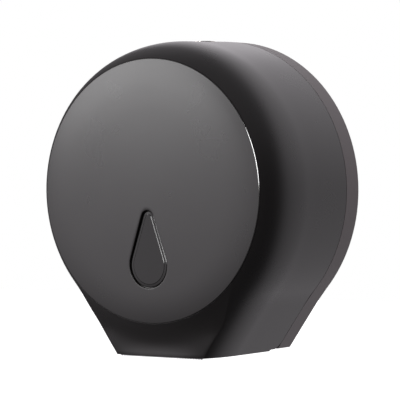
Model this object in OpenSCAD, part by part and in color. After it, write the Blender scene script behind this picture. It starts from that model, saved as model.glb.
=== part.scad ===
// Jumbo toilet roll dispenser for a wall: a round plastic wall plate, a deep cover
// hinged at its base, a free running hub for one big roll, and a cam lock on top.
// Origin: on the wall, on the axis of the roll. +X right, +Y into the wall, +Z up.

/* [Body outline] */
// Radius of the round body
body_r = 135; // [125:1:150]
// Depth of the wall plate's base below the roll axis
base_drop = 144.5; // [142:0.5:160]
// Width of the wall plate at its base
base_w = 120.6; // [112:1:130]
// How far the straight sides lie inside a line that just touches the round body
side_set_in = 1.7; // [1:0.1:3]
// Radius that blends the round body into the straight sides
blend_r = 150; // [100:10:200]

/* [Wall plate] */
// Depth of the wall plate, from the wall to the seam
plate_depth = 19.8; // [18:0.2:24]
// Wall of the plate's edge
plate_wall = 2.5; // [2:0.1:3.2]
// Floor of the plate
plate_floor = 2.5; // [2:0.1:3.5]
// Height of the ribs above the floor
rib_h = 4.5; // [2:0.5:6]
// Thickness of the ribs
rib_t = 1.8; // [1.4:0.1:2.4]
// Number of radial ribs
rib_count = 12; // [8:4:16]
// Height of the rim that stands inside the cover
rim_h = 4.5; // [3:0.5:7]

/* [Wall screws] */
// Spacing of the wall screws across
screw_dx = 136; // [120:2:150]
// Spacing of the wall screws up and down
screw_dz = 104; // [90:2:120]
// Diameter of the holes for the wall screws
screw_hole_d = 5.4; // [4.5:0.1:6.5]

/* [Cover] */
// Depth of the cover's shoulder plane from the wall
cover_depth = 128.2; // [122:0.2:140]
// Wall of the cover
cover_wall = 2.5; // [2:0.1:3]
// How much the cover's side wall draws in from the seam to the shoulder
cover_draft = 2; // [1:0.25:3]
// How far the shoulder rolls in
shoulder_in = 16; // [12:1:20]
// How deep the shoulder is
shoulder_deep = 51; // [40:1:60]
// How far the cover's lower edge hangs below the wall plate
cover_hang = 1.5; // [0.5:0.1:1.7]
// Distance of the lip panel behind the shoulder plane
lip_set_back = 10.2; // [8:0.2:14]
// Gap between the cover and the wall plate at the seam
seam_gap = 0.3; // [0.2:0.05:0.4]

/* [Front disc] */
// Width of the ledge between the disc and the shoulder
disc_ledge = 0.8; // [0.4:0.1:1.5]
// Height of the disc's edge above the shoulder plane
disc_rise = 3; // [1.5:0.25:4]
// Rounding of the disc's edge
disc_edge = 1.4; // [0.8:0.1:1.5]
// Height of the disc's crown above its edge
disc_crown = 2.4; // [1:0.2:4]

/* [Level window] */
// Depth of the window's narrow end below the roll axis
window_top = 17; // [14:1:24]
// Radius of the narrow end
window_r1 = 6.5; // [5:0.5:8]
// Radius of the wide end
window_r2 = 20; // [16:0.5:24]
// Distance between the centres of the two ends
window_len = 41.5; // [36:0.5:46]
// Width of the ledge that the window sits on
window_ledge = 2; // [1.5:0.1:2.6]
// Thickness of the window
window_t = 1.8; // [1.4:0.1:2]
// Clearance round the window
window_gap = 0.25; // [0.15:0.05:0.4]

/* [Tear strip] */
// Width of the strip
strip_w = 92; // [80:1:94]
// Height of the strip above the cover's lower edge
strip_h = 9; // [7:0.5:11]
// Thickness of the strip
strip_t = 1.2; // [0.8:0.1:1.6]
// Pitch of the teeth
tooth_pitch = 2.3; // [2:0.1:3.5]
// Height of the teeth below the cover's lower edge
tooth_h = 1.4; // [0.8:0.1:2]

/* [Hinge] */
// Distance of the hinge axis in front of the seam
hinge_ahead = 9.6; // [9.3:0.1:10.5]
// Distance of the hinge axis above the cover's lower edge
hinge_up = 9.4; // [8.8:0.1:9.4]
// Half distance between the inner faces of the wall plate's hinge ears
ear_x = 49; // [46:0.5:49]
// Thickness of the ears
ear_t = 5.2; // [4:0.2:5.6]
// Diameter of the hinge pins
pin_d = 4; // [3:0.5:5]

/* [Roll hub] */
// Radius of the fixed post
post_r = 11; // [9:0.5:12]
// Length of the post from its flange
post_len = 98.2; // [92:0.2:102]
// Radius of the bare hub, for a 45 mm core
hub_r = 21.5; // [20.5:0.5:22]
// Radius of the adapter sleeve, for a 60 mm core
adapter_r = 28.5; // [27.5:0.5:29]
// Length of the adapter sleeve
adapter_len = 88; // [80:1:90]
// Radius of the hub's rear flange
flange_r = 46; // [40:1:50]

/* [Lock] */
// Distance of the lock's axis from the wall
lock_depth = 45; // [44:0.5:48]
// Radius of the lock's flange
lock_flange_r = 11; // [10:0.5:12]
// Radius of the lock's housing
lock_r = 8.8; // [8:0.2:9.2]
// Radius of the turning plug
plug_r = 6.5; // [6:0.1:7]

/* [Fits] */
// Radial running clearance of pins, hub and plug
run_gap = 0.05; // [0.03:0.01:0.08]
// Clearance between still parts that slip together
slip_gap = 0.15; // [0.1:0.05:0.3]

/* [Hidden] */
$fn = 96;

far = 400;                       // longer than anything in the part
cut = 1;                         // how far a cut runs past a face

// The straight side: its angle from vertical, and its distance from the roll axis
side_n = body_r - side_set_in;
base_reach = norm([base_w / 2, base_drop]);
side_a = atan2(base_drop, base_w / 2) - acos(side_n / base_reach);
blend_n = side_n + blend_r;
blend_t = -sqrt(pow(body_r + blend_r, 2) - pow(blend_n, 2));
// The blend is one flat between the points where its arc would touch both
blend_a = atan2(-blend_t, blend_n);
flat_n = body_r * cos(blend_a / 2);
flat_top = -body_r * sin(blend_a / 2);
flat_low = side_n * sin(blend_a / 2) + blend_t * cos(blend_a / 2);
lap = 2;                         // how far neighbouring runs of the wall overlap

// The cover's edges and planes, as depths from the wall and heights
cover_back = plate_depth + seam_gap;
cover_drop = base_drop + cover_hang;
shoulder_start = cover_depth - shoulder_deep;
lip_depth = cover_depth - lip_set_back;
disc_r = body_r - cover_draft - shoulder_in - disc_ledge;
crown_r = (pow(disc_r, 2) + pow(disc_crown, 2)) / (2 * disc_crown);
shoulder_steps = 10;
crown_steps = 6;

// The hinge axis
hinge_depth = plate_depth + hinge_ahead;
hinge_z = -cover_drop + hinge_up;
pin_r = pin_d / 2;
pin_head_r = pin_r + 1.6;
pin_head_t = 1.5;
ear_r = pin_r + 5;
boss_gap = 0.3;
boss_x = ear_x + ear_t + boss_gap;
boss_r = pin_r + 4.8;
pin_end = boss_x + 7;

// The hub's stack, as depths from the wall
boss_h = 6.5;                    // the plate's round boss above its floor
post_foot = plate_floor + boss_h;
post_flange_t = 3;
post_flange_r = 27;
washer_start = post_foot + post_flange_t;
brake_t = 3;
hub_start = washer_start + brake_t;
hub_end_gap = 0.2;
post_end = washer_start + post_len;
hub_len = post_end - hub_end_gap - hub_start;
hub_flange_t = 2.5;
key_w = 4;
key_out = 1.6;                   // how far the hub's keys stand out
key_len = hub_len - hub_flange_t - 6;
washer_t = 1.5;
hub_screw_r = 1.9;
hub_screw_len = 16;
post_cap = 17;                   // solid end of the post that takes the screw
post_skin = 2.8;
brake_w = 5;                     // width of the brake washer's ring

// The lock's stack, as heights: the spot face lies flat in the cover's round top
wall_top = body_r - cover_draft * (lock_depth - cover_back) / (shoulder_start - cover_back);
spot_z = wall_top - 1.5;
lock_flange_t = 1.5;
lock_pad_t = 3;
nut_t = 3;
housing_low = spot_z - 11;
cam_t = 2;
cam_top = housing_low - 2;
cam_reach = 17;                  // from the lock's axis to the hook's back: clears the plate's rim
hook_t = 4;
hook_len = 6;
cam_half_w = 4;
cam_screw_in = 5;                // how far the cam's screw goes into the plug

// A size to the nearest hundredth of a millimetre
function near(v) = round(v * 100) / 100;

// The cover's [inset, depth] points from behind the seam to the front, thick of wall inside
// the outer face. The shoulder is a quarter ellipse. What lies behind the seam is cut off
function cover_face(thick, behind) = concat(
    [[thick - cover_draft * behind / (shoulder_start - cover_back), cover_back - behind]],
    [for (i = [0:shoulder_steps])
        let (a = 90 * i / shoulder_steps)
        [near(cover_draft + thick + (shoulder_in - thick) * (1 - cos(a))),
         near(shoulder_start + (shoulder_deep - thick) * sin(a))]]);

// The points of a list up to a depth, ending on its line at that depth
function upto(list, depth) =
    let (low = [for (p = list) if (p[1] < depth - 0.01) p],
        from = low[len(low) - 1],
        to = list[len(low)],
        share = (depth - from[1]) / (to[1] - from[1]))
    concat(low, [[near(from[0] + share * (to[0] - from[0])), depth]]);

// The wall of the straight sides, closed off flat at the lip
function side_wall(behind) = let (outer = upto(cover_face(0, behind), lip_depth))
    concat(outer, [[outer[len(outer) - 1][0] + 1.6, lip_depth]],
        backward(upto(cover_face(cover_wall, behind), lip_depth - cover_wall)));
function backward(list) = [for (i = [len(list) - 1:-1:0]) list[i]];
lip_inset = upto(cover_face(0, 0), lip_depth)[len(upto(cover_face(0, 0), lip_depth)) - 1][0];

// Points of the disc's crown from the axis out to the radius r, lowered by thick
function crown(r, thick) =
    [for (i = [0:crown_steps])
        let (x = r * i / crown_steps)
        [x, cover_depth + disc_rise - thick + disc_crown - crown_r + sqrt(crown_r * crown_r - x * x)]];

// Turns what is drawn in the front view, with its height as depth from the wall
module front() rotate([90, 0, 0]) children();

// A bar along X, drawn from above: between x0 and x1, centred at a depth and a height
module along_x(x0, x1, depth, z) translate([x0, -depth, z]) rotate([0, 90, 0])
    linear_extrude(height = x1 - x0) children();

// A straight run of a band of [inset, depth] points, in the front view. Its plane lies dist
// from the roll axis and faces turn degrees below +X
module straight_run(band, turn, dist, top, low)
    rotate([0, 0, -turn]) translate([0, top, 0]) rotate([90, 0, 0])
        linear_extrude(height = top - low) polygon([for (p = band) [dist - p[0], p[1]]]);

// Everything inside the right hand side of the throat, its straight side and its blend
module throat_side(section) {
    solid = concat([[far, section[0][1]]], section, [[far, section[len(section) - 1][1]]]);
    straight_run(solid, side_a, side_n, 0, -far);
    straight_run(solid, side_a + blend_a / 2, flat_n, 0, flat_low - lap);
}

// The whole body outline swept through a section, cut off below at drop and, below
// the roll axis, in front at lip
module body_form(section, drop, lip) {
    first = section[0];
    last = section[len(section) - 1];
    rotate_extrude() polygon(concat([[0, first[1]]],
        [for (s = section) [body_r - s[0], s[1]]], [[0, last[1]]]));
    intersection() {
        throat_side(section);
        mirror([1, 0, 0]) throat_side(section);
        translate([-far / 2, -drop, first[1]]) cube([far, drop, lip - first[1]]);
    }
}

// The cover's wall through the blends and down the straight sides
module cover_sides() difference() {
    for (side = [0, 1]) mirror([side, 0, 0]) {
        straight_run(side_wall(1.5), side_a + blend_a / 2, flat_n, flat_top + lap, flat_low - lap);
        straight_run(side_wall(2), side_a, side_n, blend_t + lap, blend_t - base_reach / 2);
    }
    translate([-far / 2, -cover_drop - far, -far / 2]) cube([far, far, far]);
}

// A drop shape grown by grow, its narrow end up, as seen from the front. Its straight
// sides run a hair inside the circles' common tangent
module drop_shape(grow) {
    hair = 0.03;
    lean = asin((window_r2 - window_r1) / window_len);
    translate([0, -window_top - window_r1]) {
        circle(r = window_r1 + grow);
        translate([0, -window_len]) circle(r = window_r2 + grow);
        polygon([for (p = [[1, 0, window_r1], [1, -window_len, window_r2],
                           [-1, -window_len, window_r2], [-1, 0, window_r1]])
            [p[0] * (p[2] + grow - hair) * cos(lean), p[1] + (p[2] + grow - hair) * sin(lean)]]);
    }
}

// A pan head screw along +Z, its head on z = 0 and its shank below
module pan_screw(shank_r, shank_len, head_r, head_h) {
    translate([0, 0, -shank_len]) cylinder(r = shank_r, h = shank_len);
    difference() {
        cylinder(r = head_r, h = head_h);
        for (a = [0, 90]) rotate([0, 0, a])
            translate([-head_r * 0.55, -0.4, head_h - 1]) cube([head_r * 1.1, 0.8, 1 + cut]);
    }
}

// ---- wall unit ----

spindle_screw_r = 1.7;
spindle_screw_at = 20.5;
spindle_screw_len = 9;
keeper_w = 34;
keeper_h = 16;
keeper_z = body_r - 30;          // middle of the keeper's foot
keeper_pad = 5.5;
keeper_t = 1.6;
keeper_arm_w = 9;
keeper_screw_x = 11;
keeper_screw_r = 1.6;
screw_pad_r = screw_hole_d / 2 + 5;
screw_pad_h = 2.5;

module hinge_ear() along_x(ear_x, ear_x + ear_t, 0, 0) {
    translate([-hinge_z, -hinge_depth]) circle(r = ear_r);
    translate([-hinge_z - ear_r, -hinge_depth]) square([2 * ear_r, hinge_depth - plate_floor + 0.5]);
}

module plate_ribs() {
    ring_r = body_r * 0.62;
    translate([0, 0, plate_floor - 0.5]) {
        for (i = [0:rib_count - 1])
            rotate([0, 0, (i + 0.5) * 360 / rib_count])
                translate([post_flange_r - 2, -rib_t / 2, 0])
                    cube([body_r - plate_wall / 2 - post_flange_r + 2, rib_t, rib_h + 0.5]);
        difference() {
            cylinder(r = ring_r + rib_t, h = rib_h + 0.5);
            translate([0, 0, -cut]) cylinder(r = ring_r, h = rib_h + 0.5 + 2 * cut);
        }
    }
}

module back_plate() color("#55504f") difference() {
    union() {
        front() {
            difference() {
                body_form([[0, 0], [0, plate_depth]], base_drop, plate_depth);
                body_form([[plate_wall, plate_floor], [plate_wall, plate_depth + cut]],
                    base_drop - plate_wall, plate_depth + cut);
            }
            plate_ribs();
            cylinder(r = post_flange_r + 3, h = post_foot);
            translate([-keeper_w / 2 - 2, keeper_z - keeper_h / 2 - 2, plate_floor - 0.5])
                cube([keeper_w + 4, keeper_h + 4, keeper_pad + 0.5]);
            for (x = [-1, 1], z = [-1, 1]) translate([x * screw_dx / 2, z * screw_dz / 2, 0])
                cylinder(r = screw_pad_r, h = plate_floor + screw_pad_h);
            // Rim inside the cover, on the round part above the hinge
            difference() {
                translate([0, 0, plate_depth - 4])
                    cylinder(r = body_r - plate_wall / 2, h = 4);
                translate([0, 0, plate_depth - 4 - cut])
                    cylinder(r = body_r - plate_wall - 2.4, h = 4 + 2 * cut);
                translate([-far / 2, -far - body_r * 0.5, 0]) cube([far, far, far]);
            }
            difference() {
                translate([0, 0, plate_depth - 1])
                    cylinder(r = body_r - cover_wall - 0.6, h = rim_h + 1);
                translate([0, 0, plate_depth - 1 - cut])
                    cylinder(r = body_r - cover_wall - 2.4, h = rim_h + 1 + 2 * cut);
                translate([-far / 2, -far - body_r * 0.5, 0]) cube([far, far, far]);
            }
        }
        hinge_ear();
        mirror([1, 0, 0]) hinge_ear();
    }
    // Bores for the hinge pins
    along_x(-far / 2, far / 2, hinge_depth, hinge_z) circle(r = pin_r + run_gap / 2);
    front() {
        for (x = [-1, 1], z = [-1, 1]) translate([x * screw_dx / 2, z * screw_dz / 2, -cut])
            cylinder(d = screw_hole_d, h = plate_floor + screw_pad_h + 2 * cut);
        for (i = [0:3]) rotate([0, 0, 45 + 90 * i]) translate([spindle_screw_at, 0, 1.5])
            cylinder(r = spindle_screw_r, h = post_foot);
        for (x = [-1, 1]) translate([x * keeper_screw_x, keeper_z, plate_floor])
            cylinder(r = keeper_screw_r, h = keeper_pad + cut);
    }
}

module spindle_post() color("#3c3a39") front() difference() {
    union() {
        translate([0, 0, post_foot]) cylinder(r = post_flange_r, h = post_flange_t);
        translate([0, 0, washer_start - cut]) cylinder(r = post_r, h = post_len + cut);
    }
    // Moulded hollow, open to the wall plate
    translate([0, 0, post_foot - cut])
        cylinder(r = post_r - post_skin, h = post_end - post_cap - post_foot + cut);
    translate([0, 0, post_end - post_cap - cut]) cylinder(r = hub_screw_r, h = post_cap + 2 * cut);
    for (i = [0:3]) rotate([0, 0, 45 + 90 * i]) translate([spindle_screw_at, 0, post_foot - cut])
        cylinder(r = spindle_screw_r + 0.2, h = post_flange_t + 2 * cut);
}

module spindle_screws() color("silver") front()
    for (i = [0:3]) rotate([0, 0, 45 + 90 * i]) translate([spindle_screw_at, 0, washer_start])
        pan_screw(spindle_screw_r, spindle_screw_len, 3.3, 2.2);

module brake_washer() color("#b9b2a4") front() translate([0, 0, washer_start]) difference() {
    cylinder(r = post_r + brake_w, h = brake_t);
    translate([0, 0, -cut]) cylinder(r = post_r + slip_gap, h = brake_t + 2 * cut);
}

module hinge_pin() color("silver") {
    along_x(ear_x - 0.5, pin_end, hinge_depth, hinge_z) circle(r = pin_r);
    along_x(ear_x - pin_head_t, ear_x, hinge_depth, hinge_z) circle(r = pin_head_r);
}

module hinge_pin_right() hinge_pin();

module hinge_pin_left() mirror([1, 0, 0]) hinge_pin();

module lock_keeper() color("silver") difference() {
    foot = plate_floor + keeper_pad;
    arm_z = cam_top + 1.4;
    tab_far = lock_depth - cam_reach + hook_t + 1.2;
    arm_x = -cam_half_w - 1.2 - keeper_arm_w;
    union() {
        front() translate([-keeper_w / 2, keeper_z - keeper_h / 2, foot])
            cube([keeper_w, keeper_h, keeper_t]);
        // Upright from the foot to the arm
        front() translate([arm_x, keeper_z, foot])
            cube([keeper_arm_w, arm_z + keeper_t - keeper_z, keeper_t]);
        // Arm over the cam, and the tab that holds the hook
        front() translate([arm_x, arm_z, foot]) cube([keeper_arm_w, keeper_t, tab_far + 2 - foot]);
        front() translate([arm_x, cam_top - cam_t - 1.5, tab_far])
            cube([keeper_arm_w, arm_z + keeper_t - cam_top + cam_t + 1.5, 2]);
    }
    front() for (x = [-1, 1]) translate([x * keeper_screw_x, keeper_z, foot - cut])
        cylinder(r = keeper_screw_r + 0.2, h = keeper_t + 2 * cut);
}

module keeper_screws() color("silver") front()
    for (x = [-1, 1]) translate([x * keeper_screw_x, keeper_z, plate_floor + keeper_pad + keeper_t])
        pan_screw(keeper_screw_r, 6, 3, 1.8);

// ---- roll hub ----

// Three keys along the hub, grown by grow, and longer by behind at the rear
module hub_keys(grow, behind) for (a = [0:120:240]) rotate([0, 0, a])
    translate([hub_r - 1, -key_w / 2 - grow, -behind])
        cube([key_out + 1 + grow, key_w + 2 * grow, key_len + behind + grow]);

module roll_hub() color("#3c3a39") front() translate([0, 0, hub_start]) difference() {
    union() {
        cylinder(r = flange_r, h = hub_flange_t);
        cylinder(r = hub_r, h = hub_len);
        translate([0, 0, hub_flange_t]) hub_keys(0, 0);
    }
    translate([0, 0, -cut]) cylinder(r = post_r + run_gap, h = hub_len + 2 * cut);
    // Hollow between the bearing sleeve and the outer sleeve, open to the rear
    translate([0, 0, -cut]) difference() {
        cylinder(r = hub_r - 2.2, h = hub_len - 3 + cut);
        translate([0, 0, -cut]) cylinder(r = post_r + 5.2, h = hub_len + 3 * cut);
        for (a = [60:120:300]) rotate([0, 0, a]) translate([post_r, -1, -cut])
            cube([hub_r - post_r, 2, hub_len + 3 * cut]);
    }
}

module core_adapter() color("#6a6663") front() translate([0, 0, hub_start + hub_flange_t + slip_gap])
    difference() {
        union() {
            cylinder(r = adapter_r, h = adapter_len - 3);
            translate([0, 0, adapter_len - 3]) cylinder(r1 = adapter_r, r2 = adapter_r - 2.5, h = 3);
        }
        translate([0, 0, -cut]) cylinder(r = hub_r + slip_gap, h = adapter_len + 2 * cut);
        hub_keys(slip_gap, cut);
        // Pockets that leave an outer skin, an inner sleeve and webs between them
        for (i = [0:5]) rotate([0, 0, i * 60 + 30]) intersection() {
            difference() {
                translate([0, 0, -cut]) cylinder(r = adapter_r - 2, h = adapter_len - 3 + cut);
                translate([0, 0, -2 * cut]) cylinder(r = hub_r + 3.6, h = adapter_len);
            }
            linear_extrude(height = 3 * adapter_len, center = true)
                polygon([[0, 0], [far * cos(24), far * sin(24)], [far * cos(24), -far * sin(24)]]);
        }
    }

module hub_washer() color("silver") front() translate([0, 0, post_end]) difference() {
    cylinder(r = post_r + 4.5, h = washer_t);
    translate([0, 0, -cut]) cylinder(r = hub_screw_r + 0.2, h = washer_t + 2 * cut);
}

module hub_screw() color("silver") front() translate([0, 0, post_end + washer_t])
    pan_screw(hub_screw_r, hub_screw_len, 4.6, 2.8);

// ---- cover ----

strip_front = lip_depth - cover_wall;
clip_x = strip_w / 2 - 9;
clip_hole_r = 1.6;
clip_z = -cover_drop + strip_h - 3.5;

// The window's face lies just below the disc's crown, its seat one window's thickness behind
window_face = cover_depth + disc_rise + disc_crown - 2;
window_seat = window_face - window_t;

module cover_boss() intersection() {
    front() translate([0, 0, -plate_depth]) throat_side([[cover_wall / 2, 0], [cover_wall / 2, far]]);
    along_x(boss_x, far / 4, hinge_depth, hinge_z) circle(r = boss_r);
}

// The cover's lower rear corner: round about the hinge axis, with a small step in front
module corner_cut() {
    r = hinge_ahead - seam_gap;
    step_z = -cover_drop + 1.4;
    step_at = hinge_depth + 1;
    rotate([90, 0, 90]) linear_extrude(height = far, center = true) difference() {
        polygon([[cut, hinge_z], [-hinge_depth, hinge_z], [-hinge_depth, step_z],
            [-step_at, step_z], [-step_at - 1.4, -cover_drop], [-step_at - 2.4, -cover_drop - cut],
            [cut, -cover_drop - cut]]);
        intersection() {
            translate([-hinge_depth, hinge_z]) circle(r = r);
            translate([-far, step_z]) square([2 * far, far]);
        }
    }
}

// Everything inside the right hand straight side, drawn in by inset
module below_side(inset) rotate([0, 0, -side_a])
    translate([side_n - inset - far, -far]) square([far, far]);

// The flat panel below the disc, between the straight sides
module lip_panel() {
    overlap = 1;
    difference() {
        translate([0, 0, lip_depth - cover_wall]) linear_extrude(height = cover_wall) intersection() {
            below_side(lip_inset + overlap);
            mirror([1, 0, 0]) below_side(lip_inset + overlap);
            translate([-far / 2, -cover_drop]) square([far, cover_drop]);
        }
        cylinder(r = body_r - lip_inset - overlap, h = far);
    }
}

// The cover's round part: side wall, shoulder, ledge and domed disc, with an even wall.
// Between the straight sides it is open behind the lip
module round_body() difference() {
    rotate_extrude() polygon(concat(
        [for (p = cover_face(0, 1)) [body_r - p[0], p[1]]],
        [[disc_r, cover_depth], [disc_r, cover_depth + disc_rise - disc_edge],
         [disc_r - disc_edge * 0.3, cover_depth + disc_rise - disc_edge * 0.3]],
        backward(crown(disc_r - disc_edge, 0)),
        crown(disc_r - disc_edge - cover_wall, cover_wall),
        [[disc_r - disc_edge - cover_wall, cover_depth - cover_wall]],
        backward([for (p = cover_face(cover_wall, 1)) [body_r - p[0], p[1]]])));
    arc_a = side_a + blend_a + lap / 2;
    linear_extrude(height = lip_depth - cover_wall / 2) polygon([[0, 0],
        [far * cos(arc_a), -far * sin(arc_a)], [-far * cos(arc_a), -far * sin(arc_a)]]);
}

module front_cover() color("#4a4848") difference() {
    union() {
        front() {
            round_body();
            cover_sides();
            lip_panel();
        }
        cover_boss();
        mirror([1, 0, 0]) cover_boss();
        // Pad under the lock
        intersection() {
            translate([0, -lock_depth, spot_z - lock_pad_t])
                cylinder(r = lock_flange_r + 4, h = lock_pad_t + 0.8);
            front() cylinder(r = body_r - cover_draft - 0.5, h = far);
        }
        // Seat behind the window
        front() translate([0, 0, window_seat - 1.6]) linear_extrude(height = 2.4)
            drop_shape(window_gap + 1.6);
    }
    translate([-far / 2, -cover_back, -far / 2]) cube([far, far, far]);
    corner_cut();
    for (s = [-1, 1]) along_x(s > 0 ? boss_x - cut : -pin_end - 0.3, s > 0 ? pin_end + 0.3 : -boss_x + cut,
        hinge_depth, hinge_z) circle(r = pin_r + run_gap);
    front() {
        translate([0, 0, window_seat]) linear_extrude(height = far) drop_shape(window_gap);
        translate([0, 0, window_seat - far]) linear_extrude(height = far + cut) drop_shape(-window_ledge);
    }
    // Spot face and hole for the lock
    translate([0, -lock_depth, spot_z]) cylinder(r = lock_flange_r + slip_gap, h = far);
    translate([0, -lock_depth, spot_z - 6]) cylinder(r = lock_r + slip_gap, h = far);
    // Holes for the tear strip's clips
    for (x = [-1, 0, 1]) front() translate([x * clip_x, clip_z, strip_front - cut])
        cylinder(r = clip_hole_r, h = cut + 1.6);
}

module level_window() color("#33313290") front() {
    translate([0, 0, window_seat]) linear_extrude(height = window_t - 0.6) drop_shape(0);
    translate([0, 0, window_seat + window_t - 0.7]) linear_extrude(height = 0.7) drop_shape(-0.5);
    // Hooks that hold the window behind its ledge
    for (z = [-window_top - window_ledge - 2.2, -window_top - window_r1 - window_len - window_r2
            + window_ledge + 2.2]) translate([-2.5, z - 0.8, window_seat - 2.9]) cube([5, 1.6, 3.4]);
}

module tear_strip() color("silver") front() difference() {
    count = floor(strip_w / tooth_pitch);
    start = -count * tooth_pitch / 2;
    translate([0, 0, strip_front - strip_t]) linear_extrude(height = strip_t)
        polygon(concat([[strip_w / 2, -cover_drop], [strip_w / 2, -cover_drop + strip_h],
                [-strip_w / 2, -cover_drop + strip_h], [-strip_w / 2, -cover_drop]],
            [for (i = [0:count - 1], p = [[0, 0], [0.5, -tooth_h]])
                [start + (i + p[0]) * tooth_pitch, -cover_drop + p[1]]], [[-start, -cover_drop]]));
    for (x = [-1, 0, 1]) translate([x * clip_x, clip_z, strip_front - strip_t - cut])
        cylinder(r = clip_hole_r, h = strip_t + 2 * cut);
}

module strip_clips() color("#2b2a2a") front()
    for (x = [-1, 0, 1]) translate([x * clip_x, clip_z, strip_front - strip_t]) {
        translate([0, 0, -1.2]) cylinder(r = clip_hole_r + 1.2, h = 1.2);
        cylinder(r = clip_hole_r - slip_gap / 2, h = strip_t + 1.4);
    }

// ---- lock ----

module lock_housing() color("#8d8d8f") translate([0, -lock_depth, 0]) difference() {
    union() {
        translate([0, 0, spot_z]) cylinder(r = lock_flange_r, h = lock_flange_t);
        translate([0, 0, housing_low]) cylinder(r = lock_r, h = spot_z - housing_low + 0.5);
    }
    translate([0, 0, housing_low - cut]) cylinder(r = plug_r + run_gap, h = far);
}

module lock_nut() color("silver") translate([0, -lock_depth, spot_z - lock_pad_t - nut_t]) difference() {
    cylinder(r = lock_r + 4, h = nut_t, $fn = 6);
    translate([0, 0, -cut]) cylinder(r = lock_r + slip_gap / 3, h = nut_t + 2 * cut);
}

module lock_plug() color("silver") translate([0, -lock_depth, 0]) difference() {
    translate([0, 0, cam_top]) cylinder(r = plug_r, h = spot_z + lock_flange_t - 0.3 - cam_top);
    // Two round key holes and the slot between them
    for (x = [-2.6, 2.6]) translate([x, 0, spot_z - 6]) cylinder(r = 1.1, h = far, $fn = 24);
    translate([-2.6, -0.6, spot_z - 3]) cube([5.2, 1.2, far]);
    translate([0, 0, cam_top - cut]) cylinder(r = 1.3, h = cam_screw_in + 1 + cut, $fn = 32);
}

module lock_cam() color("#9a9a9c") translate([0, -lock_depth, cam_top - cam_t]) difference() {
    linear_extrude(height = cam_t) {
        circle(r = plug_r);
        translate([0, -cam_half_w]) square([cam_reach, 2 * cam_half_w]);
        translate([cam_reach - hook_t, -cam_half_w]) square([hook_t, cam_half_w + hook_len]);
    }
    translate([0, 0, -cut]) cylinder(r = 1.5, h = cam_t + 2 * cut, $fn = 32);
}

module cam_screw() color("silver") translate([0, -lock_depth, cam_top - cam_t])
    mirror([0, 0, 1]) pan_screw(1.3, cam_t + cam_screw_in, 3, 1.6);

back_plate();
spindle_post();
spindle_screws();
brake_washer();
roll_hub();
core_adapter();
hub_washer();
hub_screw();
hinge_pin_left();
hinge_pin_right();
lock_keeper();
keeper_screws();
front_cover();
level_window();
tear_strip();
strip_clips();
lock_housing();
lock_nut();
lock_plug();
lock_cam();
cam_screw();
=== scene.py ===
import math

import bmesh
import bpy
from mathutils import Matrix, Vector


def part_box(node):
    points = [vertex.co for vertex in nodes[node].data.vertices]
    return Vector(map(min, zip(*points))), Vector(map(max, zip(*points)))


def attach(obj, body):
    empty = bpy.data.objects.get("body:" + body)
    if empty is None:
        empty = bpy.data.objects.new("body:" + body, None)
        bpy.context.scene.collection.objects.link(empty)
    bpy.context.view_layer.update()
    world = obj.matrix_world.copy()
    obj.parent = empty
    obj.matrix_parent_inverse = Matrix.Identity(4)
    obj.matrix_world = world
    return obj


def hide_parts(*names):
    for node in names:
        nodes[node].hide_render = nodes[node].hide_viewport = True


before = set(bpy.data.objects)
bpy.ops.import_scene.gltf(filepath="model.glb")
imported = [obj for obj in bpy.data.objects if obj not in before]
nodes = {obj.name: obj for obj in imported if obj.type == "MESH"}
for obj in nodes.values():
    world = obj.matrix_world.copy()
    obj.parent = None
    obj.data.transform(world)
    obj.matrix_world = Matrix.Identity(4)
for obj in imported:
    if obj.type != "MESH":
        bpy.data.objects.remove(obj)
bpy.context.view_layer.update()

MM = 0.001


# ---- materials ----

# The sockets of a Mix node that mixes colours go by number, because their names repeat
MIX_SHARE = 0
MIX_DARK = 6
MIX_LIGHT = 7
MIX_RESULT = 2

# How far apart the slow changes of tone and gloss lie on moulded plastic, and how much the
# roughness changes either way
DRIFT_MM = 40
GLOSS_DRIFT = 0.01


def srgb(text):
    """A hex colour as a linear RGBA colour."""
    parts = [int(text[i:i + 2], 16) / 255 for i in (0, 2, 4)]
    linear = [p / 12.92 if p <= 0.04045 else ((p + 0.055) / 1.055) ** 2.4 for p in parts]
    return (*linear, 1.0)


def add(tree, kind, settings=None, links=None):
    """Adds a node with its settings and links. Both go by a socket's name or number, and a
    setting may also be a property."""
    made = tree.nodes.new("ShaderNode" + kind)
    for name, value in (settings or {}).items():
        if isinstance(name, int) or name in made.inputs:
            made.inputs[name].default_value = value
        else:
            setattr(made, name, value)
    for name, source in (links or {}).items():
        tree.links.new(source, made.inputs[name])
    return made


def start(name):
    """A new material: its tree, its Principled shader and its Object coordinates."""
    material = bpy.data.materials.new(name)
    material.use_nodes = True
    tree = material.node_tree
    shader = tree.nodes["Principled BSDF"]
    place = add(tree, "TexCoord").outputs["Object"]
    return material, tree, shader, place


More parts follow.
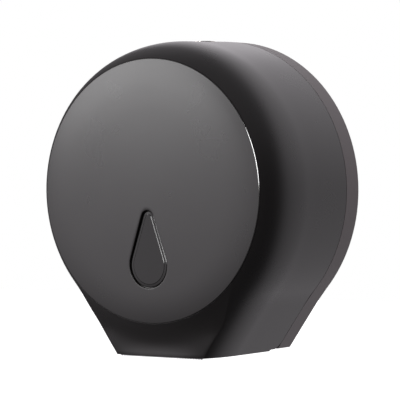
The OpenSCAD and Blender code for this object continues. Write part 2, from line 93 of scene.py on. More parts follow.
def moulded(name, dark, light, rough, grain_mm, grain_high_mm, ior=1.53, specular=0.5):
    """Moulded plastic: the mould's grain, and a slow drift of tone and gloss."""
    material, tree, shader, place = start(name)
    drift = add(tree, "TexNoise", {"Scale": 1000 / DRIFT_MM, "Detail": 3.0}, {"Vector": place})
    colour = add(tree, "Mix", {"data_type": "RGBA", MIX_DARK: srgb(dark), MIX_LIGHT: srgb(light)},
                 {MIX_SHARE: drift.outputs["Fac"]})
    tree.links.new(colour.outputs[MIX_RESULT], shader.inputs["Base Color"])
    gloss = add(tree, "MapRange", {"From Min": 0.3, "From Max": 0.7, "To Min": rough - GLOSS_DRIFT,
                                   "To Max": rough + GLOSS_DRIFT}, {"Value": drift.outputs["Fac"]})
    tree.links.new(gloss.outputs["Result"], shader.inputs["Roughness"])
    grain = add(tree, "TexNoise", {"Scale": 1000 / grain_mm, "Detail": 2.0}, {"Vector": place})
    bump = add(tree, "Bump", {"Strength": 0.35, "Distance": grain_high_mm * MM},
               {"Height": grain.outputs["Fac"]})
    tree.links.new(bump.outputs["Normal"], shader.inputs["Normal"])
    shader.inputs["IOR"].default_value = ior
    shader.inputs["Specular IOR Level"].default_value = specular
    return material


# A spark eroded mould leaves a grain of about 0.1 mm, too fine for the render, so it is drawn
# at 0.9 mm. Polished faces have a long faint waviness of 3 mm in its place.

# Smoked polycarbonate, moulded with a satin face: near black, with a soft broad sheen
smoked_satin = moulded("smoked_polycarbonate_satin", "1d1b1b", "232121", rough=0.28,
                       grain_mm=0.9, grain_high_mm=0.03, ior=1.58)
# The same plastic polished in the window: as dark, with sharp but weaker lights
smoked_clear = moulded("smoked_polycarbonate_polished", "1c1b1b", "222121", rough=0.12,
                       grain_mm=3.0, grain_high_mm=0.01, ior=1.4)
# The chamfer round the disc, where the mould is polished: sharper and stronger lights
smoked_edge = moulded("smoked_polycarbonate_polished_edge", "1d1b1b", "232121", rough=0.12,
                      grain_mm=3.0, grain_high_mm=0.01, ior=1.58, specular=1.0)
# ABS, moulded, brown grey and opaque: a flat satin
plate_abs = moulded("abs_brown_grey_moulded", "6a6263", "756d6e", rough=0.45,
                    grain_mm=0.9, grain_high_mm=0.04)
# ABS, moulded black, on the hub and the post: the same flat satin
hub_abs = moulded("abs_black_moulded", "242323", "2c2b2b", rough=0.42,
                  grain_mm=0.9, grain_high_mm=0.04)
# ABS, moulded mid grey, on the core sleeve: the same flat satin
sleeve_abs = moulded("abs_grey_moulded", "625f5d", "6b6866", rough=0.45,
                     grain_mm=0.9, grain_high_mm=0.04)


def zinc_steel():
    """Zinc plated steel: pale grey metal, with a faint mottle of 2.5 mm from the bath."""
    material, tree, shader, place = start("steel_zinc_plated")
    mottle = add(tree, "TexNoise", {"Scale": 1000 / 2.5, "Detail": 4.0}, {"Vector": place})
    colour = add(tree, "Mix", {"data_type": "RGBA", MIX_DARK: srgb("a3a5a6"),
                               MIX_LIGHT: srgb("c2c4c4")}, {MIX_SHARE: mottle.outputs["Fac"]})
    tree.links.new(colour.outputs[MIX_RESULT], shader.inputs["Base Color"])
    shader.inputs["Metallic"].default_value = 1.0
    gloss = add(tree, "MapRange", {"To Min": 0.22, "To Max": 0.38},
                {"Value": mottle.outputs["Fac"]})
    tree.links.new(gloss.outputs["Result"], shader.inputs["Roughness"])
    return material


def nickel_brass():
    """Nickel plated brass: bright warm metal, with marks of 1.5 mm from handling."""
    material, tree, shader, place = start("brass_nickel_plated")
    wear = add(tree, "TexNoise", {"Scale": 1000 / 1.5, "Detail": 3.0}, {"Vector": place})
    colour = add(tree, "Mix", {"data_type": "RGBA", MIX_DARK: srgb("b9b3aa"),
                               MIX_LIGHT: srgb("cfcac2")}, {MIX_SHARE: wear.outputs["Fac"]})
    tree.links.new(colour.outputs[MIX_RESULT], shader.inputs["Base Color"])
    shader.inputs["Metallic"].default_value = 1.0
    gloss = add(tree, "MapRange", {"To Min": 0.12, "To Max": 0.22},
                {"Value": wear.outputs["Fac"]})
    tree.links.new(gloss.outputs["Result"], shader.inputs["Roughness"])
    return material


def pressed_felt():
    """Pressed wool felt: pale grey tufts of fibre, 0.6 mm apart, no gloss."""
    material, tree, shader, place = start("felt_wool_pressed")
    fibre = add(tree, "TexNoise", {"Scale": 1000 / 0.6, "Detail": 6.0, "Distortion": 1.5},
                {"Vector": place})
    colour = add(tree, "Mix", {"data_type": "RGBA", MIX_DARK: srgb("8f8a80"),
                               MIX_LIGHT: srgb("c9c4b8")}, {MIX_SHARE: fibre.outputs["Fac"]})
    tree.links.new(colour.outputs[MIX_RESULT], shader.inputs["Base Color"])
    bump = add(tree, "Bump", {"Strength": 0.6, "Distance": 0.3 * MM},
               {"Height": fibre.outputs["Fac"]})
    tree.links.new(bump.outputs["Normal"], shader.inputs["Normal"])
    shader.inputs["Roughness"].default_value = 0.95
    return material


steel = zinc_steel()
nickel = nickel_brass()
felt = pressed_felt()
finishes = {
    smoked_satin: ["front_cover", "tear_strip", "strip_clips"],
    smoked_clear: ["level_window"],
    plate_abs: ["back_plate"],
    hub_abs: ["spindle_post", "roll_hub"],
    sleeve_abs: ["core_adapter"],
    felt: ["brake_washer"],
    steel: ["spindle_screws", "hub_washer", "hub_screw", "hinge_pin_left", "hinge_pin_right",
            "lock_keeper", "keeper_screws", "lock_cam", "cam_screw"],
    nickel: ["lock_housing", "lock_nut", "lock_plug"],
}
for material, names in finishes.items():
    for name in names:
        mesh = nodes[name].data
        mesh.materials.clear()
        mesh.materials.append(material)


# ---- the cover's sizes, in millimetres, with depths measured from the wall ----

# The outline: a round body, and straight sides that run from it to the foot over a blend
BODY_R = 135.0
BLEND_R = 150.0
FOOT_X = 60.3
FOOT_Z = 144.5
# A side's distance from the roll axis, and the angle by which it leans in
SIDE = 133.3
LEAN = math.atan2(FOOT_Z, FOOT_X) - math.acos(SIDE / math.hypot(FOOT_X, FOOT_Z))
# How far down the side the blend ends, the angle that it turns through, and the angle below
# the level at which it meets the round body
BLEND_DOWN = math.sqrt((BODY_R + BLEND_R) ** 2 - (SIDE + BLEND_R) ** 2)
BLEND_TURN = math.atan2(BLEND_DOWN, SIDE + BLEND_R)
TOUCH = LEAN + BLEND_TURN

# The wall, the seam with the wall plate, and the draft up to the shoulder
WALL = 2.5
SEAM = 20.4
DRAFT = 2.0
SHOULDER = 77.2
# The shoulder's elliptic roll: its half axes, and the angle at which it meets the disc
ROLL_IN = 24.55
ROLL_DEEP = 55.26
ROLL_END = math.radians(70.86)
EDGE_R = BODY_R - DRAFT - ROLL_IN * (1 - math.cos(ROLL_END))

# The base, the step behind it, and the heel round the hinge
BASE = -146.0
STEP = -144.6
STEP_END = 30.4
HINGE_D = 29.4
HINGE_Z = -136.6
HEEL_R = 9.3

# The lip: its height, how far it falls back below the disc, and a power that says how early
LIP_HIGH = -EDGE_R - BASE
LIP_FALL = 9.5
LIP_FALL_POWER = 2.5
# Beside its middle it lies further back: by LIP_BULGE at a distance of LIP_HALF, and by no
# more than at LIP_REACH times that distance
LIP_BULGE = 5.0
LIP_HALF = 60.0
LIP_REACH = 1.15
# The crease between the lip and the sides: its round, and the least angle that gets it
CREASE_ROUND = 0.8
CREASE_ANGLE = math.radians(25)

# The hinge bosses inside the side walls
BOSS_X = 54.5
BOSS_R = 6.8
# The lock: its depth, the pad under it, its seat and hole in the wall, and how far the cut
# for them reaches out of the wall on both sides
LOCK_D = 45.0
PAD_R = 15.0
PAD_T = 2.6
PAD_Z = 131.2
SPOT_Z = 132.63
FLANGE_R = 11.15
LOCK_R = 8.95
LOCK_CUT = 9.0

# The disc: its top, its dome, the radius of its face, and how far the face rolls off towards
# its rim, and from where
DISC_TOP = 133.6
DOME_R = 2814.3
RIM = 115.45
RIM_FALL = 1.15
RIM_FROM = 90.0
# Round the rim a polished chamfer, a small round and a short wall
CHAMFER = 0.5
CHAMFER_ANGLE = math.radians(18)
EDGE_ROUND = 0.4
EDGE_DEEP = 0.9
# How far behind the disc's top the chamfer may lie, and what its width may be out by
CHAMFER_ZONE = 5.0
SLACK = 0.1

# The window's drop: the centres and radii of its two arcs, and a point inside it
DROP_TOP = Vector((0, -23.5))
DROP_TOP_R = 6.5
DROP_LOW = Vector((0, -65))
DROP_LOW_R = 20.0
DROP_INSIDE = Vector((0, -48))
# The least that a line from there has to face a flank, so that it meets it at all
FACING_LEAST = 1e-6
# The hole, row by row: how far outside the drop, and how deep, where a negative depth is
# measured from the disc's face
SEAT = 129.8
HOLE_EDGE = 0.75
HOLE = ((0.45, -0.12), (0.3, -0.3), (0.25, -0.6), (0.25, SEAT), (-2, SEAT))
# The same on the inner face, where the ledge has its back
LEDGE_BACK = 128.2
BACK_EDGE = 1.85
BACK_HOLE = ((BACK_EDGE, LEDGE_BACK), (-2, LEDGE_BACK))
# The window, row by row, in the same way: two low steps with polished bevels, then the face
WINDOW_SIDE = -0.5
WINDOW = ((WINDOW_SIDE, 130.9), (-0.6, 131.15), (-1.2, 131.38), (-3.1, 131.54), (-3.6, 131.73),
          (-4.2, 131.74))

# The tear strip, and its teeth: pitch and height
STRIP_W = 92.0
STRIP_H = 9.0
STRIP_T = 1.2
TOOTH = 2.9
TOOTH_H = 1.4

# Stations of the outline along a straight side, a blend, the round body and the base
SIDES = 14
BLENDS = 6
ROUND = 88
BASES = 24
TOUCH_AT = SIDES + BLENDS
COUNT = 2 * TOUCH_AT + ROUND + 1
# The drafted wall's rows, closer together round the heel and the step, and the counts of
# rows on the roll, the lip and the rim's small round
WALL_DEPTHS = (SEAM, 21.2, 22.4, 23.5, 24.66, 27, STEP_END, 31.8, 33.5, 42, 54, 66)
ROLL_ROWS = 16
LIP_ROWS = 10
ROUND_ROWS = 4
# The disc's rows, as shares of the way out from the window to the rim
DISC_SHARES = (0.97, 0.92, 0.8, 0.66, 0.52, 0.4, 0.29, 0.2, 0.12, 0.06, 0.02, 0.0)
# Halvings that find where the roll meets the lip
HALVINGS = 30
# Facets of a boss, of the pad and of the lock's cut
BOSS_SIDES = 40
PAD_SIDES = 48
CUT_SIDES = 72

# Edges that turn by more degrees than this stay sharp, on the window those of its low bevels
SHARP = 32
WINDOW_SHARP = 8
# Vertices that are closer than this become one, on the cover and on the lock's cut
MERGE = 0.002
CUT_MERGE = 0.001


# ---- the cover's shapes ----

def at(x, z, depth):
    """A place given in the front view, in millimetres, at a depth from the wall."""
    return Vector((x * MM, -depth * MM, z * MM))


def way(angle):
    """A direction in the front view."""
    return Vector((math.cos(angle), math.sin(angle)))


def low_edge(depth):
    """Height of the cover's lower edge: round at the heel, then a step down to the base."""
    heel = HINGE_Z - math.sqrt(max(0.0, HEEL_R ** 2 - (HINGE_D - depth) ** 2))
    if depth < HINGE_D:
        return max(heel, STEP)
    return max(BASE, min(STEP, STEP - (depth - STEP_END)))


def station(i, inset, depth):
    """Station i of the body's outline, from the base's right hand corner to its left."""
    if i > COUNT // 2:
        right = station(COUNT - 1 - i, inset, depth)
        return Vector((-right.x, right.y))
    outward = Vector((math.cos(LEAN), -math.sin(LEAN)))
    down = Vector((-math.sin(LEAN), -math.cos(LEAN)))
    if i < SIDES:
        side = SIDE - inset
        foot = (-low_edge(depth) - side * math.sin(LEAN)) / math.cos(LEAN)
        return side * outward + (foot + (BLEND_DOWN - foot) * i / SIDES) * down
    if i <= TOUCH_AT:
        turn = BLEND_TURN * (i - SIDES) / BLENDS
        centre = (SIDE + BLEND_R) * outward + BLEND_DOWN * down
        return centre - (BLEND_R + inset) * (math.cos(turn) * outward + math.sin(turn) * down)
    return way(-TOUCH + (math.pi + 2 * TOUCH) * (i - TOUCH_AT) / ROUND) * (BODY_R - inset)


def roll(thick, angle):
    """Inset and depth of the rolled shoulder at an angle, thick inside the outer face."""
    return (DRAFT + thick + ROLL_IN * (1 - math.cos(angle)),
            SHOULDER + (ROLL_DEEP - thick) * math.sin(angle))


def lip_depth(x, z, thick):
    """Depth of the lip's face: it falls back below the disc, levels out, and lies further
    back towards its two corners."""
    # The share of the way to the base that is gone, which turns from a measure along the
    # radius, next to the disc, to one straight down
    beyond = max(0.0, math.hypot(x, z) - EDGE_R + thick)
    under = min(max(0.0, -EDGE_R - z), LIP_HIGH)
    level = (under / LIP_HIGH) ** 2 * (3 - 2 * under / LIP_HIGH)
    gone = min(1.0, (beyond * (1 - level) + under * level) / LIP_HIGH)
    bulge = LIP_BULGE * min(LIP_REACH, abs(x) / LIP_HALF) ** 3 * gone ** 2
    return roll(thick, ROLL_END)[1] - LIP_FALL * (1 - (1 - gone) ** LIP_FALL_POWER) - bulge


def on_lip(place, thick):
    """A place moved in depth on to the lip's face."""
    x = place.x / MM
    z = place.z / MM
    return at(x, z, lip_depth(x, z, thick))


def roll_end(i, thick):
    """How far the shoulder rolls at a station, before it meets the lip's face."""
    if TOUCH_AT <= i < COUNT - TOUCH_AT:
        return ROLL_END
    low = 0.0
    high = ROLL_END
    for _ in range(HALVINGS):
        middle = (low + high) / 2
        place = station(i, *roll(thick, middle))
        if roll(thick, middle)[1] < lip_depth(place.x, place.y, thick):
            low = middle
        else:
            high = middle
    return low


def rim_angles():
    """The angles about the roll axis of the stations and of the places along the base."""
    ends = [station(i, *roll(0, roll_end(i, 0))) for i in range(COUNT)]
    ends += [ends[-1].lerp(ends[0], i / BASES) for i in range(1, BASES)]
    return [math.atan2(end.y, end.x) for end in ends]


ANGLES = rim_angles()


def ring(radius, depth):
    """A circle round the roll axis, with a place at each of those angles."""
    return [at(radius * math.cos(angle), radius * math.sin(angle), depth) for angle in ANGLES]


def far_side(point, direction, centre, radius):
    """Where a line from a point leaves a circle."""
    along = direction.dot(centre - point)
    gap = (centre - point).length_squared
    return point + direction * (along + math.sqrt(along ** 2 - gap + radius ** 2))


def drop(grow):
    """The window's drop outline, grown by grow: two arcs joined by straight flanks."""
    top_r = DROP_TOP_R + grow
    low_r = DROP_LOW_R + grow
    lean = math.asin((DROP_LOW_R - DROP_TOP_R) / (DROP_TOP.y - DROP_LOW.y))
    places = []
    for angle in ANGLES:
        outward = way(angle)
        flank = Vector((math.copysign(math.cos(lean), outward.x), math.sin(lean)))
        facing = max(flank.dot(outward), FACING_LEAST)
        place = DROP_INSIDE + (top_r + flank.dot(DROP_TOP - DROP_INSIDE)) / facing * outward
        if place.y > DROP_TOP.y + top_r * math.sin(lean):
            place = far_side(DROP_INSIDE, outward, DROP_TOP, top_r)
        elif place.y < DROP_LOW.y + low_r * math.sin(lean):
            place = far_side(DROP_INSIDE, outward, DROP_LOW, low_r)
        places.append(place)
    return places


def dome(radius):
    """Depth of the disc's face at a distance from the roll axis."""
    fall = RIM_FALL * max(0.0, (radius - RIM_FROM) / (RIM - RIM_FROM)) ** 2
    return DISC_TOP - DOME_R + math.sqrt(DOME_R ** 2 - radius ** 2) - fall


def disc_edge(thick):
    """Radius and depth of the rows round the disc: a short wall, a small round, the foot of
    the chamfer and the face's rim."""
    if thick:
        return [(RIM - thick, dome(RIM - thick) - thick)]
    radius = RIM + CHAMFER * math.cos(CHAMFER_ANGLE)
    depth = dome(RIM) - CHAMFER * math.sin(CHAMFER_ANGLE)
    rows = [(radius + EDGE_ROUND * (1 - math.sin(CHAMFER_ANGLE)), depth - EDGE_DEEP)]
    for i in range(ROUND_ROWS + 1):
        turn = (math.pi / 2 - CHAMFER_ANGLE) * i / ROUND_ROWS
        rows.append((radius - EDGE_ROUND * (math.sin(CHAMFER_ANGLE) - math.cos(turn)),
                     depth - EDGE_ROUND * (math.cos(CHAMFER_ANGLE) - math.sin(turn))))
    return rows + [(RIM, dome(RIM))]


# ---- mesh tools ----

def strand(bm, places, first=None):
    """A line of vertices through places, on from the vertex first if it is given."""
    if first is None:
        first = bmesh.ops.create_vert(bm, co=places[0])["vert"][0]
        places = places[1:]
    line = [first]
    for place in places:
        made = bmesh.ops.extrude_vert_indiv(bm, verts=[line[-1]])["verts"][0]
        made.co = place
        line.append(made)
    return line


def between(bm, row, closed=False):
    """The edges along a row of vertices."""
    pairs = zip(row, row[1:] + row[:1]) if closed else zip(row, row[1:])
    return [bm.edges.get(pair) for pair in pairs]


def next_row(bm, row, places, closed=False):
    """Extrudes a row of vertices to its next places, and gives the new row."""
    made = bmesh.ops.extrude_edge_only(bm, edges=between(bm, row, closed))["geom"]
    fresh = {part for part in made if isinstance(part, bmesh.types.BMVert)}
    following = []
    for vert, place in zip(row, places):
        others = [edge.other_vert(vert) for edge in vert.link_edges]
        new = next(other for other in others if other in fresh)
        new.co = place
        following.append(new)
    return following


def close_outline(bm, row):
    """Joins the ends of a line of vertices and fills it with one face."""
    bmesh.ops.contextual_create(bm, geom=[row[0], row[-1]])
    return bmesh.ops.contextual_create(bm, geom=between(bm, row, True))["faces"]


def finish_mesh(name, bm, material, body, stands_for, sharp=SHARP):
    """Makes a bmesh one smooth object that rides on a body and stands for a CAD node."""
    mesh = bpy.data.meshes.new(name)
    bm.to_mesh(mesh)
    bm.free()
    for face in mesh.polygons:
        face.use_smooth = True
    mesh.set_sharp_from_angle(angle=math.radians(sharp))
    piece = bpy.data.objects.new(name, mesh)
    bpy.context.scene.collection.objects.link(piece)
    mesh.materials.append(material)
    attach(piece, body)
    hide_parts(stands_for)
    return piece


def cut_away(piece, bm):
    """Cuts a closed shape out of a piece."""
    mesh = bpy.data.meshes.new("cutter")
    bm.to_mesh(mesh)
    bm.free()
    cutter = bpy.data.objects.new("cutter", mesh)
    bpy.context.scene.collection.objects.link(cutter)
    cut = piece.modifiers.new("cut", "BOOLEAN")
    cut.object = cutter
    cut.operation = "DIFFERENCE"
    cut.solver = "EXACT"
    cut.use_self = True
    graph = bpy.context.evaluated_depsgraph_get()
    piece.data = bpy.data.meshes.new_from_object(piece.evaluated_get(graph))
    piece.modifiers.clear()
    bpy.data.objects.remove(cutter)
    piece.data.set_sharp_from_angle(angle=math.radians(SHARP))


# ---- the cover ----

def wall_rows(thick):
    """Places of the drafted wall and the rolled shoulder, by rows from the seam forwards."""
    ends = [roll_end(i, thick) for i in range(COUNT)]
    rows = [[(thick + DRAFT * (depth - SEAM) / (SHOULDER - SEAM), depth)] * COUNT
            for depth in WALL_DEPTHS]
    rows += [[roll(thick, end * i / ROLL_ROWS) for end in ends] for i in range(ROLL_ROWS + 1)]
    return [[at(*station(i, inset, depth), depth) for i, (inset, depth) in enumerate(row)]
            for row in rows]


def disc_rows(thick, hole_edge):
    """Places of the disc's face, by rows from near its rim in to the window's hole."""
    rim = ring(RIM - thick, 0)
    hole = drop(hole_edge)
    rows = []
    for share in DISC_SHARES:
        places = []
        for outer, inner in zip(rim, hole):
            x = outer.x / MM * share + inner.x * (1 - share)
            z = outer.z / MM * share + inner.y * (1 - share)
            places.append(at(x, z, dome(math.hypot(x, z)) - thick))
        rows.append(places)
    return rows


def cover_skin(bm, thick):
    """One face of the cover's wall, thick inside the outer one. Gives the vertices round its
    open base and seam, and those round the window."""
    rows = wall_rows(thick)
    seam = strand(bm, rows[0])
    row = seam
    right = [row[0]]
    left = [row[-1]]
    for places in rows[1:]:
        row = next_row(bm, row, places)
        right.append(row[0])
        left.append(row[-1])
    # The base's front edge closes the outline, from the left corner to the right
    corner = row[-1].co.copy()
    across = [corner.lerp(row[0].co, i / BASES) for i in range(1, BASES)]
    base = strand(bm, [on_lip(place, thick) for place in across], row[-1])
    bmesh.ops.contextual_create(bm, geom=[base[-1], row[0]])
    # Seams mark the outer skin's crease, which the bevel finds by them
    crease = between(bm, row[:TOUCH_AT])
    crease += between(bm, row[-TOUCH_AT:])
    crease += between(bm, base + row[:1])
    for edge in crease:
        edge.seam = not thick
    # The lip's face runs from the outline in to the disc's foot
    row = row + base[1:]
    outline = [vert.co.copy() for vert in row]
    foot = ring(EDGE_R - thick, roll(thick, ROLL_END)[1])
    for i in range(1, LIP_ROWS + 1):
        places = [start.lerp(end, i / LIP_ROWS) for start, end in zip(outline, foot)]
        row = next_row(bm, row, [on_lip(place, thick) for place in places], True)
    # The disc, and the window's hole in it
    for radius, depth in disc_edge(thick):
        row = next_row(bm, row, ring(radius, depth), True)
    for places in disc_rows(thick, BACK_EDGE if thick else HOLE_EDGE):
        row = next_row(bm, row, places, True)
    for grow, depth in BACK_HOLE if thick else HOLE:
        places = [at(p.x, p.y, depth if depth > 0 else dome(p.length) + depth) for p in drop(grow)]
        row = next_row(bm, row, places, True)
    return seam[::-1] + right[1:] + base[:0:-1] + left[:0:-1], row


def hinge_boss(bm, side):
    """A boss inside the cover's side wall, round a hinge pin. Its outer end is in the wall."""
    turn = Matrix.Rotation(math.pi / 2, 4, "Y")
    made = bmesh.ops.create_cone(bm, cap_ends=True, segments=BOSS_SIDES, radius1=BOSS_R * MM,
                                 radius2=BOSS_R * MM, depth=MM, matrix=turn)["verts"]
    for vert in made:
        height = HINGE_Z + vert.co.z / MM
        wall = (SIDE - WALL / 2 + height * math.sin(LEAN)) / math.cos(LEAN)
        reach = BOSS_X if vert.co.x < 0 else wall
        vert.co = at(side * reach, height, HINGE_D + vert.co.y / MM)


def lock_pad(bm):
    """A round pad under the cover's top, where the lock's nut bears."""
    made = bmesh.ops.create_cone(bm, cap_ends=True, segments=PAD_SIDES, radius1=PAD_R * MM,
                                 radius2=PAD_R * MM, depth=PAD_T * MM)["verts"]
    bmesh.ops.translate(bm, verts=made, vec=at(0, PAD_Z, LOCK_D))


def lock_cut():
    """What is cut out of the cover's top for the lock: a flat seat for its flange and a hole."""
    bm = bmesh.new()
    profile = [(0, SPOT_Z + LOCK_CUT), (FLANGE_R, SPOT_Z + LOCK_CUT), (FLANGE_R, SPOT_Z),
               (LOCK_R, SPOT_Z), (LOCK_R, SPOT_Z - LOCK_CUT), (0, SPOT_Z - LOCK_CUT)]
    line = strand(bm, [at(radius, height, LOCK_D) for radius, height in profile])
    bmesh.ops.spin(bm, geom=line + between(bm, line), cent=at(0, 0, LOCK_D), axis=(0, 0, 1),
                   angle=math.tau, steps=CUT_SIDES, use_merge=True)
    bmesh.ops.remove_doubles(bm, verts=bm.verts, dist=CUT_MERGE * MM)
    bmesh.ops.recalc_face_normals(bm, faces=bm.faces)
    return bm


def polish_chamfer(bm):
    """Gives the narrow faces round the disc's rim the second material."""
    for face in bm.faces:
        centre = face.calc_center_median() / MM
        in_front = -centre.y > DISC_TOP - CHAMFER_ZONE
        if in_front and RIM < math.hypot(centre.x, centre.z) < RIM + CHAMFER - SLACK:
            face.material_index = 1


def sharpen_chamfer(mesh):
    """Keeps the two edges of the polished chamfer sharp, and not those across it."""
    polished = set()
    for face in mesh.polygons:
        if face.material_index:
            polished.update(face.edge_keys)
    for edge in mesh.edges:
        if edge.key in polished:
            first, second = (mesh.vertices[i].co for i in edge.vertices)
            step = math.hypot(first.x, first.z) - math.hypot(second.x, second.z)
            if abs(step) < SLACK * MM:
                edge.use_edge_sharp = True


def make_cover():
    """The cover: an outer and an inner skin joined at their open edges, with its bosses, its
    pad, the crease's round, the polished chamfer and the lock's seat."""
    bm = bmesh.new()
    edge, window = cover_skin(bm, 0.0)
    back_edge, back_window = cover_skin(bm, WALL)
    next_row(bm, edge, [vert.co.copy() for vert in back_edge], True)
    next_row(bm, window, [vert.co.copy() for vert in back_window], True)
    hinge_boss(bm, 1)
    hinge_boss(bm, -1)
    lock_pad(bm)
    bmesh.ops.remove_doubles(bm, verts=bm.verts, dist=MERGE * MM)
    bmesh.ops.recalc_face_normals(bm, faces=bm.faces)
    creases = [edge for edge in bm.edges if edge.seam and edge.calc_face_angle(0) > CREASE_ANGLE]
    bmesh.ops.bevel(bm, geom=creases, offset=CREASE_ROUND * MM, offset_type="OFFSET",
                    affect="EDGES", segments=3, profile=0.5, material=-1, clamp_overlap=True)
    polish_chamfer(bm)
    cover = finish_mesh("cover", bm, smoked_satin, "cover", "front_cover")
    cover.data.materials.append(smoked_edge)
    cut_away(cover, lock_cut())
    sharpen_chamfer(cover.data)


def make_window():
    """The window: a drop with two low steps up to its flat face, a little below the disc."""
    bm = bmesh.new()
    row = strand(bm, [at(p.x, p.y, SEAT) for p in drop(WINDOW_SIDE)])
    close_outline(bm, row)
    for grow, depth in WINDOW:
        row = next_row(bm, row, [at(p.x, p.y, depth) for p in drop(grow)], True)
    bmesh.ops.contextual_create(bm, geom=between(bm, row, True))
    bmesh.ops.recalc_face_normals(bm, faces=bm.faces)
    finish_mesh("window", bm, smoked_clear, "cover", "level_window", WINDOW_SHARP)


def make_tear_strip():
    """The tear strip: a flat bar behind the lip, with its teeth below the lip's edge."""
    bm = bmesh.new()
    depth = -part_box("tear_strip")[0].y / MM
    count = int(STRIP_W / TOOTH)
    corners = [(STRIP_W / 2, BASE + STRIP_H), (-STRIP_W / 2, BASE + STRIP_H), (-STRIP_W / 2, BASE)]
    for i in range(count):
        left = (i - count / 2) * TOOTH
        corners += [(left, BASE), (left + TOOTH / 2, BASE - TOOTH_H)]
    corners += [(count * TOOTH / 2, BASE), (STRIP_W / 2, BASE)]
    row = strand(bm, [at(x, z, depth) for x, z in dict.fromkeys(corners)])
    made = bmesh.ops.extrude_face_region(bm, geom=close_outline(bm, row))["geom"]
    bmesh.ops.translate(bm, verts=[part for part in made if isinstance(part, bmesh.types.BMVert)],
                        vec=(0, STRIP_T * MM, 0))
    bmesh.ops.recalc_face_normals(bm, faces=bm.faces)
    finish_mesh("tear_bar", bm, smoked_satin, "cover", "tear_strip")


make_cover()
make_window()
make_tear_strip()


# ---- floor, light and camera, in metres ----

# The floor: half its width, and how far down it lies, so that no shadow shows
FLOOR_HALF = 30
FLOOR_DOWN = 2.5
# Directions from the dispenser to the lit backdrop of the studio and to its bright left side
BACKDROP = (0.25, 1.0, 0.0)
FRONT_LEFT = (-0.62, -0.78, 0.0)

# The photograph's camera, fitted to the round body, the disc and the base corners: where it
# looks, how far away it stands, how far it is turned, raised and rolled in radians, its focal
# length and the middle of its picture in pixels of the photograph, and its sensor in mm
LOOKS_AT = Vector((0, -0.06, -0.00526))
DISTANCE = 1.8214
TURN = 0.6210
RISE = 0.0150
TILT = -0.0130
FOCAL_PX = 2017
MIDDLE_X_PX = 195.65
MIDDLE_Y_PX = 195.47
PHOTO_PX = 400
SENSOR = 36


def stage_floor():
    """A wide pale floor. The camera sees it, and reflections and bounced light don't."""
    bm = bmesh.new()
    bmesh.ops.create_grid(bm, x_segments=1, y_segments=1, size=FLOOR_HALF)
    bmesh.ops.translate(bm, verts=bm.verts, vec=(0, 0, -FLOOR_DOWN))
    mesh = bpy.data.meshes.new("floor")
    bm.to_mesh(mesh)
    bm.free()
    floor = bpy.data.objects.new("floor", mesh)
    bpy.context.scene.collection.objects.link(floor)
    # White paper, matt, with a glow that keeps it pale without a lamp
    material, _, shader, _ = start("floor_paper_white")
    shader.inputs["Base Color"].default_value = srgb("f4f4f4")
    shader.inputs["Roughness"].default_value = 0.9
    shader.inputs["Emission Color"].default_value = srgb("ffffff")
    shader.inputs["Emission Strength"].default_value = 0.95
    mesh.materials.append(material)
    floor.visible_diffuse = False
    floor.visible_glossy = False


def soft_box(name, place, towards, size, power):
    """A rectangular soft light."""
    light = bpy.data.lights.new(name, "AREA")
    light.shape = "RECTANGLE"
    light.size = size[0]
    light.size_y = size[1]
    light.energy = power
    lamp = bpy.data.objects.new(name, light)
    lamp.location = place
    lamp.rotation_euler = (Vector(towards) - Vector(place)).to_track_quat("-Z", "Y").to_euler()
    bpy.context.scene.collection.objects.link(lamp)


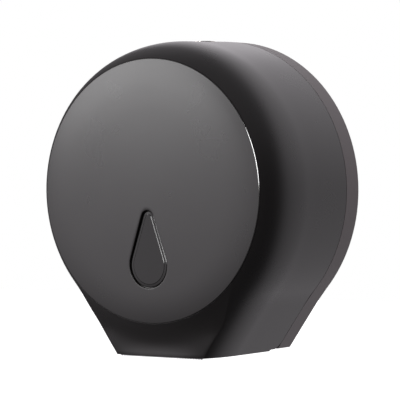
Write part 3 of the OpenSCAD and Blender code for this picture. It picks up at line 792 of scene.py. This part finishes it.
def surroundings(tree):
    """How bright the studio is in each direction: dark in front, grey above, white behind,
    where the lit backdrop stands, and bright to the front left."""
    place = add(tree, "TexCoord").outputs["Generated"]
    part = add(tree, "SeparateXYZ", links={"Vector": place})
    behind = add(tree, "VectorMath", {"operation": "DOT_PRODUCT", 1: BACKDROP}, {0: place})
    behind = add(tree, "MapRange", {"interpolation_type": "SMOOTHSTEP", "From Min": 0.42,
                                    "From Max": 0.75, "To Min": 0.08, "To Max": 0.68},
                 {"Value": behind.outputs["Value"]})
    to_left = add(tree, "MapRange", {"interpolation_type": "SMOOTHSTEP", "From Min": -0.1,
                                     "From Max": -0.6, "To Min": 1.0, "To Max": 1.6},
                  {"Value": part.outputs["X"]})
    backdrop = add(tree, "Math", {"operation": "MULTIPLY"},
                   {0: behind.outputs["Result"], 1: to_left.outputs["Result"]})
    lift = add(tree, "MapRange", {"From Max": 0.8, "To Min": 0.95, "To Max": 1.7},
               {"Value": part.outputs["Z"]})
    above = add(tree, "MapRange", {"interpolation_type": "SMOOTHSTEP", "From Min": 0.1,
                                   "From Max": 0.95, "To Max": 0.15}, {"Value": part.outputs["Z"]})
    total = add(tree, "Math", {"operation": "MULTIPLY_ADD"},
                {0: backdrop.outputs["Value"], 1: lift.outputs["Result"],
                 2: above.outputs["Result"]})
    left = add(tree, "VectorMath", {"operation": "DOT_PRODUCT", 1: FRONT_LEFT}, {0: place})
    left = add(tree, "MapRange", {"interpolation_type": "SMOOTHSTEP", "From Min": 0.8,
                                  "From Max": 0.99, "To Max": 1.35},
               {"Value": left.outputs["Value"]})
    level = add(tree, "MapRange", {"interpolation_type": "SMOOTHSTEP", "From Min": -0.42,
                                   "From Max": 0.0}, {"Value": part.outputs["Z"]})
    left = add(tree, "Math", {"operation": "MULTIPLY"},
               {0: left.outputs["Result"], 1: level.outputs["Result"]})
    return add(tree, "Math", {"operation": "ADD"},
               {0: total.outputs["Value"], 1: left.outputs["Value"]}).outputs["Value"]


def studio():
    """The light: the camera sees pure white, all else sees the studio's surroundings."""
    scene = bpy.context.scene
    scene.view_settings.view_transform = "Standard"
    world = bpy.data.worlds.new("studio")
    scene.world = world
    world.use_nodes = True
    tree = world.node_tree
    seen = tree.nodes["Background"]
    seen.inputs["Color"].default_value = srgb("ffffff")
    fill = add(tree, "Background", {"Color": srgb("fffaff")}, {"Strength": surroundings(tree)})
    ray = add(tree, "LightPath")
    choice = add(tree, "MixShader", links={0: ray.outputs["Is Camera Ray"],
                                           1: fill.outputs["Background"],
                                           2: seen.outputs["Background"]})
    tree.links.new(choice.outputs["Shader"], tree.nodes["World Output"].inputs["Surface"])
    soft_box("strip_front", place=(0.13, -1.71, 0.28), towards=(0.11, -0.13, 0.03),
             size=(0.17, 0.5), power=5)
    soft_box("key_left", place=(-1.18, -1.5, 0.56), towards=(0, -0.1, 0.0),
             size=(0.9, 0.75), power=9.5)


def camera():
    """The camera at the photograph's viewing angle."""
    back = Vector((math.sin(TURN) * math.cos(RISE), -math.cos(TURN) * math.cos(RISE),
                   math.sin(RISE)))
    level = Vector((math.cos(TURN), math.sin(TURN), 0))
    upright = back.cross(level)
    right = level * math.cos(TILT) + upright * math.sin(TILT)
    up = upright * math.cos(TILT) - level * math.sin(TILT)
    place = LOOKS_AT + back * DISTANCE
    lens = bpy.data.cameras.new("camera")
    lens.sensor_width = SENSOR
    lens.lens = FOCAL_PX * SENSOR / PHOTO_PX
    lens.shift_x = (PHOTO_PX / 2 - MIDDLE_X_PX) / PHOTO_PX
    lens.shift_y = (MIDDLE_Y_PX - PHOTO_PX / 2) / PHOTO_PX
    lens.clip_end = 100
    eye = bpy.data.objects.new("camera", lens)
    eye.matrix_world = Matrix((
        (right.x, up.x, back.x, place.x),
        (right.y, up.y, back.y, place.y),
        (right.z, up.z, back.z, place.z),
        (0, 0, 0, 1)))
    bpy.context.scene.collection.objects.link(eye)
    bpy.context.scene.camera = eye


stage_floor()
studio()
camera()
